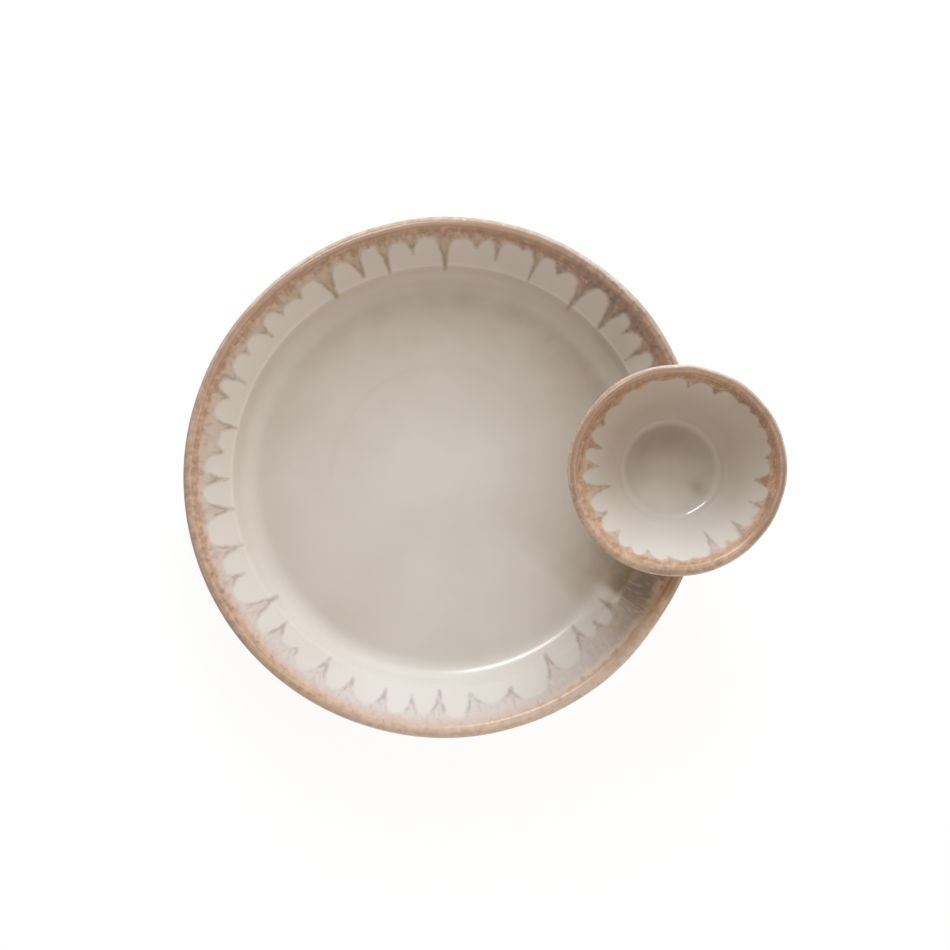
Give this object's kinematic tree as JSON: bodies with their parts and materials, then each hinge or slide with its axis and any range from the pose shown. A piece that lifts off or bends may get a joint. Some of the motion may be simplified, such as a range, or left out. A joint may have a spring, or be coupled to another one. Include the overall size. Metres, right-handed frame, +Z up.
{
  "type": "chip and dip server",
  "caption": "Shallow round stoneware platter with a sloped flange and rolled lip; a small footed dip bowl sits astride the lip and lifts off.",
  "frame": {"origin": "on the platter's axis, in the plane its foot ring stands on", "axes": "+Z up, +X from the platter's axis to the dip bowl's axis"},
  "size_m": [0.338, 0.3, 0.0943],
  "materials": {
    "platter_glaze": "glossy cream reactive glaze, brown speckled lip with drips",
    "bare_stoneware": "unglazed buff stoneware, matt",
    "bowl_glaze": "glossy cream reactive glaze, brown speckled lip with drips",
    "foot_glaze": "glossy cream glaze above a bare standing edge"
  },
  "bodies": {
    "platter": {"platter_dish": "platter_glaze", "platter_foot_ring": "bare_stoneware"},
    "dip_bowl": {"dip_bowl_cup": "bowl_glaze", "dip_bowl_saddle_foot": "foot_glaze"}
  },
  "joints": [
    {"name": "dip_bowl_lift", "type": "slide", "parent": "platter", "child": "dip_bowl", "axis": [0, 0, 1], "range_m": [0, 0.1]}
  ]
}
